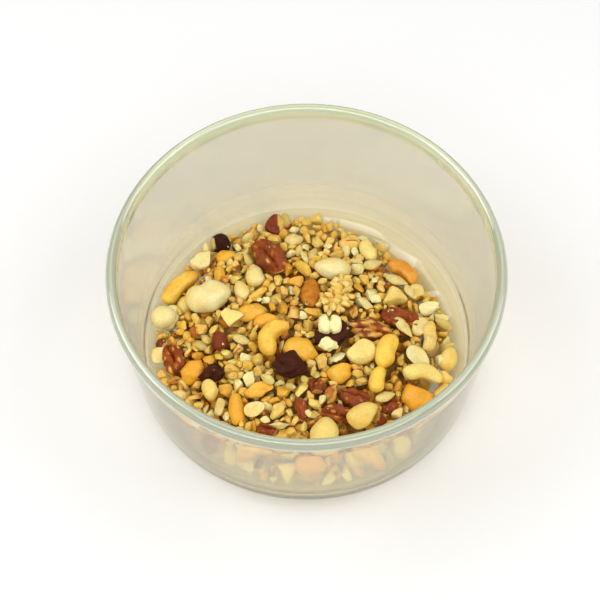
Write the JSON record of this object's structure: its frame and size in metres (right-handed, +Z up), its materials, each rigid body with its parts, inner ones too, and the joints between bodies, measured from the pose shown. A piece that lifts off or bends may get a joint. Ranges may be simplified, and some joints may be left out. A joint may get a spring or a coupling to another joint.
{
  "type": "bowl of nut crunch",
  "caption": "Round clear glass bowl with a rounded rim, holding a low loose heap of chopped and whole roasted nuts and seeds.",
  "frame": {"origin": "centre of the bowl's foot, on the table", "axes": "+Z up along the bowl's axis, -Y towards the near side of the bowl, +X to the right as seen from there"},
  "size_m": [0.168, 0.168, 0.08],
  "materials": {
    "glass": "clear pressed glass, polished, with a faint green-grey tint that deepens in the thick rim and foot",
    "nuts": "roasted nut pieces, semi-matte with a light oily sheen, from cream and golden to red-brown and dark brown"
  },
  "bodies": {
    "root": {"glass_bowl": "glass", "nut_heap": "nuts"}
  },
  "joints": []
}
